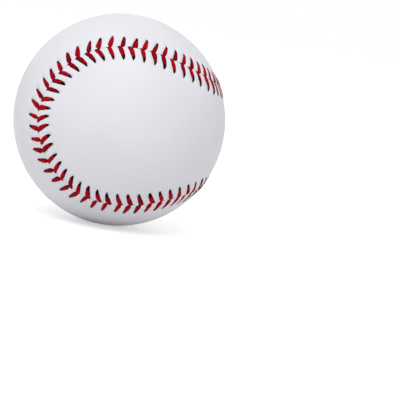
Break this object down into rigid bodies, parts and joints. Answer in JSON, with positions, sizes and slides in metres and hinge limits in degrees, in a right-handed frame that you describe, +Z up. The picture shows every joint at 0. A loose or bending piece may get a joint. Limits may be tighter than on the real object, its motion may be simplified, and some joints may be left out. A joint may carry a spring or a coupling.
{
  "type": "baseball",
  "caption": "Round ball with a smooth white vinyl cover of two figure-eight panels, joined along one curving seam by raised red lacing.",
  "frame": {"origin": "centre of the ball", "axes": "+Z up, -Z through the middle of the lobe of panel B that the ball lies on, +X through the middle of panel A's waist, -X through the middle of panel B's; panel A's lobes lie round +Y and -Y"},
  "size_m": [0.0738, 0.0738, 0.0738],
  "materials": {
    "vinyl": "smooth white vinyl with a low sheen",
    "red_thread": "waxed red lacing thread",
    "white_yarn": "wound white yarn",
    "grey_yarn": "wound grey wool yarn",
    "black_rubber": "moulded black rubber",
    "red_rubber": "moulded red rubber",
    "cork": "pressed cork and rubber granules"
  },
  "bodies": {
    "root": {"cover_panel_a": "vinyl", "cover_panel_b": "vinyl", "lacing_thread": "red_thread", "finishing_winding": "white_yarn", "third_winding": "grey_yarn", "second_winding": "white_yarn", "first_winding": "grey_yarn", "outer_cup_upper": "red_rubber", "outer_cup_lower": "red_rubber", "inner_cup_upper": "black_rubber", "inner_cup_lower": "black_rubber", "cup_gasket": "red_rubber", "cork_nucleus": "cork"}
  },
  "joints": []
}
